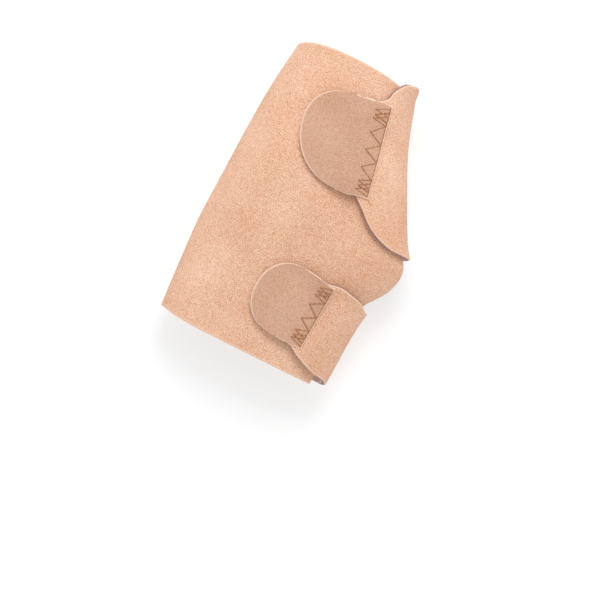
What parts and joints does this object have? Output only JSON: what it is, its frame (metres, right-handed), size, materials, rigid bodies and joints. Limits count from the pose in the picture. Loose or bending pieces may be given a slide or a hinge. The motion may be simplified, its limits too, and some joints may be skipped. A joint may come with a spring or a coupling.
{
  "type": "wrist splint",
  "caption": "Soft foam-laminate wrist and palm splint, closed round the hand by two thumb-side straps with hook tabs; open for the fingers, thumb and forearm.",
  "frame": {"origin": "centre of the bounding box, level with the underside of the palm pocket that the splint lies on", "axes": "+Y up the forearm, away from the fingers; +Z out of the back of the hand; +X to the thumb side"},
  "size_m": [0.094, 0.1442, 0.0506],
  "materials": {
    "face_cloth": "matt looped pile",
    "foam": "matt open-cell foam",
    "lining": "matt knit",
    "tape": "matt woven",
    "hooks": "fine nylon hooks",
    "thread": "sewing thread",
    "pocket_cloth": "matt knit",
    "stay": "mill finish",
    "vinyl": "dipped vinyl"
  },
  "bodies": {
    "blank": {"blank_face": "face_cloth", "blank_foam": "foam", "blank_lining": "lining", "stay_pocket": "pocket_cloth", "stay_pocket_stitching": "thread"},
    "web_strap": {"web_strap_face": "face_cloth", "web_strap_foam": "foam", "web_strap_lining": "lining", "web_tab_root": "tape", "web_tab_stitching": "thread"},
    "web_tab": {"web_tab_flap": "tape", "web_tab_hooks": "hooks"},
    "wrist_strap": {"wrist_strap_face": "face_cloth", "wrist_strap_foam": "foam", "wrist_strap_lining": "lining", "wrist_tab_root": "tape", "wrist_tab_stitching": "thread"},
    "wrist_tab": {"wrist_tab_flap": "tape", "wrist_tab_hooks": "hooks"},
    "stay": {"palmar_stay": "stay", "stay_tip_distal": "vinyl", "stay_tip_proximal": "vinyl"}
  },
  "joints": [
    {"name": "web_strap_bend", "type": "hinge", "parent": "blank", "child": "web_strap", "pos_m": [0.02891, -0.07208, 0.02973], "axis": [0.0398, 0.9947, 0.0949], "range_deg": [0, 170]},
    {"name": "wrist_strap_bend", "type": "hinge", "parent": "blank", "child": "wrist_strap", "pos_m": [0.03617, -0.00163, 0.03857], "axis": [-0.3409, 0.9398, -0.0235], "range_deg": [0, 160]},
    {"name": "web_tab_peel", "type": "hinge", "parent": "web_strap", "child": "web_tab", "pos_m": [0.00656, -0.06072, 0.03966], "axis": [0.0707, 0.9901, 0.1209], "range_deg": [0, 75]},
    {"name": "wrist_tab_peel", "type": "hinge", "parent": "wrist_strap", "child": "wrist_tab", "pos_m": [0.00305, 0.0132, 0.05076], "axis": [-0.1234, 0.9918, -0.0341], "range_deg": [0, 75]},
    {"name": "stay_slide", "type": "slide", "parent": "blank", "child": "stay", "axis": [-0.0802, 0.9968, 0], "range_m": [0, 0.12]}
  ]
}
